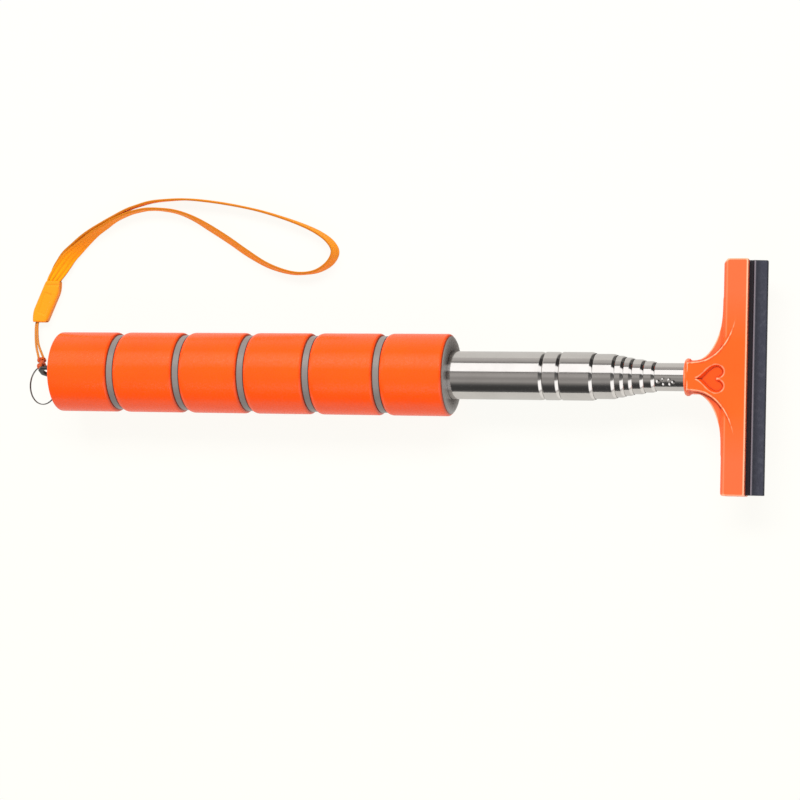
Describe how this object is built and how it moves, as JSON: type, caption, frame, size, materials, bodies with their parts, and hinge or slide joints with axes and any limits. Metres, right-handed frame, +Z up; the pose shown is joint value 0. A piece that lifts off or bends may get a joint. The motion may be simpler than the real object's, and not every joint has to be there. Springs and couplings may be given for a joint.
{
  "type": "telescopic squeegee",
  "caption": "Pocket squeegee: a T-shaped plastic head with a rubber blade on a telescopic steel pole, with a banded foam grip and a wrist strap on a split ring at the tail.",
  "frame": {"origin": "centre of the flat end of the tail lug, on the pole's axis", "axes": "+X along the pole from tail to head, +Y along the head towards the side the strap lies on, +Z up from the table the tool lies on"},
  "size_m": [0.23, 0.088, 0.0245],
  "materials": {
    "foam_orange": "closed-cell orange foam with a fine pebbled skin, satin sheen",
    "foam_grey": "closed-cell warm-grey foam, matt cut face",
    "steel": "mirror-polished stainless steel with drawn lines along the tube",
    "sleeve_brass": "thin rolled brass strip, slightly scuffed",
    "head_plastic": "semi-gloss orange moulded plastic",
    "blade_rubber": "dark slate rubber, satin",
    "strap_nylon": "woven orange nylon ribbon with a ribbed selvedge",
    "clip_plastic": "yellow-orange soft plastic, satin",
    "cord_nylon": "tan braided nylon cord"
  },
  "bodies": {
    "handle": {"grip_block_1": "foam_orange", "grip_block_2": "foam_orange", "grip_block_3": "foam_orange", "grip_block_4": "foam_orange", "grip_block_5": "foam_orange", "grip_block_6": "foam_orange", "grip_disc_1": "foam_grey", "grip_disc_2": "foam_grey", "grip_disc_3": "foam_grey", "grip_disc_4": "foam_grey", "grip_disc_5": "foam_grey", "grip_disc_6": "foam_grey", "tube_1": "steel", "tail_plug": "steel"},
    "sleeve_2": {"friction_sleeve_2": "sleeve_brass"},
    "tube_2": {"tube_2": "steel"},
    "sleeve_3": {"friction_sleeve_3": "sleeve_brass"},
    "tube_3": {"tube_3": "steel"},
    "sleeve_4": {"friction_sleeve_4": "sleeve_brass"},
    "tube_4": {"tube_4": "steel"},
    "sleeve_5": {"friction_sleeve_5": "sleeve_brass"},
    "tube_5": {"tube_5": "steel"},
    "sleeve_6": {"friction_sleeve_6": "sleeve_brass"},
    "tube_6": {"tube_6": "steel"},
    "sleeve_7": {"friction_sleeve_7": "sleeve_brass"},
    "head": {"tube_7": "steel", "head_body": "head_plastic", "head_stud": "steel", "rubber_blade": "blade_rubber"},
    "ring": {"split_ring": "steel", "cord_hitch": "cord_nylon"},
    "knot": {"cord_knot": "cord_nylon"},
    "cord": {"cord_loop": "cord_nylon", "crimp_clip": "clip_plastic"},
    "strap": {"wrist_strap": "strap_nylon"}
  },
  "joints": [
    {"name": "tube_2_slide", "type": "slide", "parent": "handle", "child": "sleeve_2", "axis": [1, 0, 0], "range_m": [0, 0.1275]},
    {"name": "tube_2_swivel", "type": "hinge", "parent": "sleeve_2", "child": "tube_2", "pos_m": [0.02, 0, 0], "axis": [1, 0, 0], "continuous": true},
    {"name": "tube_3_slide", "type": "slide", "parent": "tube_2", "child": "sleeve_3", "axis": [1, 0, 0], "range_m": [0, 0.1275]},
    {"name": "tube_3_swivel", "type": "hinge", "parent": "sleeve_3", "child": "tube_3", "pos_m": [0.02, 0, 0], "axis": [1, 0, 0], "continuous": true},
    {"name": "tube_4_slide", "type": "slide", "parent": "tube_3", "child": "sleeve_4", "axis": [1, 0, 0], "range_m": [0, 0.1275]},
    {"name": "tube_4_swivel", "type": "hinge", "parent": "sleeve_4", "child": "tube_4", "pos_m": [0.02, 0, 0], "axis": [1, 0, 0], "continuous": true},
    {"name": "tube_5_slide", "type": "slide", "parent": "tube_4", "child": "sleeve_5", "axis": [1, 0, 0], "range_m": [0, 0.1275]},
    {"name": "tube_5_swivel", "type": "hinge", "parent": "sleeve_5", "child": "tube_5", "pos_m": [0.02, 0, 0], "axis": [1, 0, 0], "continuous": true},
    {"name": "tube_6_slide", "type": "slide", "parent": "tube_5", "child": "sleeve_6", "axis": [1, 0, 0], "range_m": [0, 0.1275]},
    {"name": "tube_6_swivel", "type": "hinge", "parent": "sleeve_6", "child": "tube_6", "pos_m": [0.02, 0, 0], "axis": [1, 0, 0], "continuous": true},
    {"name": "tube_7_slide", "type": "slide", "parent": "tube_6", "child": "sleeve_7", "axis": [1, 0, 0], "range_m": [0, 0.1275]},
    {"name": "tube_7_swivel", "type": "hinge", "parent": "sleeve_7", "child": "head", "pos_m": [0.02, 0, 0], "axis": [1, 0, 0], "continuous": true},
    {"name": "ring_swing", "type": "hinge", "parent": "handle", "child": "ring", "pos_m": [0.0047, 0, 0], "axis": [0, 1, 0], "range_deg": [-20, 50]},
    {"name": "cord_level", "type": "hinge", "parent": "ring", "child": "knot", "pos_m": [-0.0013, 0.0035, -0.0039], "axis": [0, 1, 0], "range_deg": [-50, 20]},
    {"name": "cord_turn", "type": "hinge", "parent": "knot", "child": "cord", "pos_m": [-0.0013, 0.0035, -0.0039], "axis": [0, 0, 1], "range_deg": [-5, 85]},
    {"name": "strap_bend", "type": "hinge", "parent": "cord", "child": "strap", "pos_m": [-0.00107, 0.02882, -0.0104], "axis": [0, 0, 1], "range_deg": [-3, 40]}
  ],
  "couplings": [
    {"joint": "cord_level", "follows": "ring_swing", "ratio": -1}
  ]
}
